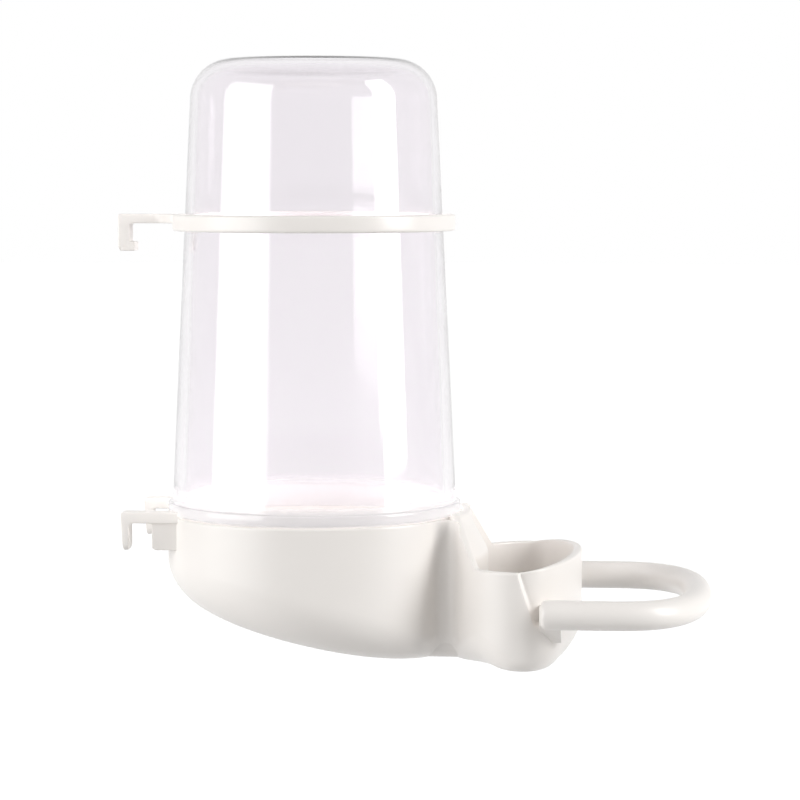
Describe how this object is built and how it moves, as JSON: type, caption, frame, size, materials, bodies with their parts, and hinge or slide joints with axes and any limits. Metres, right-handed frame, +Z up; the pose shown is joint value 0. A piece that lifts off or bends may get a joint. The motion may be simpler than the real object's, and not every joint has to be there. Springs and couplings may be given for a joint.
{
  "type": "siphon bird drinker",
  "caption": "Siphon bird drinker for a wire cage: clear inverted reservoir on a white base with an open drinking cup, a retaining ring with a hook, and a half-round perch.",
  "frame": {"origin": "the middle of a 2.4 mm cage wire that the lower hooks hang on, midway between them, 1.2 mm below the slots' roofs", "axes": "+Z up, +X from the cage wires towards the cup and perch, +Y across"},
  "size_m": [0.1255, 0.0666, 0.1248],
  "materials": {
    "white_plastic": "smooth warm white moulding",
    "clear_plastic": "polished clear moulding"
  },
  "bodies": {
    "base": {"base": "white_plastic"},
    "reservoir": {"reservoir": "clear_plastic"},
    "retaining_ring": {"retaining_ring": "white_plastic"},
    "perch": {"perch_ring": "white_plastic"}
  },
  "joints": [
    {"name": "reservoir_lift", "type": "slide", "parent": "base", "child": "reservoir", "axis": [0, 0, 1], "range_m": [0, 0.03]},
    {"name": "retaining_ring_lift", "type": "slide", "parent": "reservoir", "child": "retaining_ring", "axis": [0, 0, 1], "range_m": [0, 0.045]},
    {"name": "perch_pull", "type": "slide", "parent": "base", "child": "perch", "axis": [1, 0, 0], "range_m": [0, 0.015]}
  ]
}
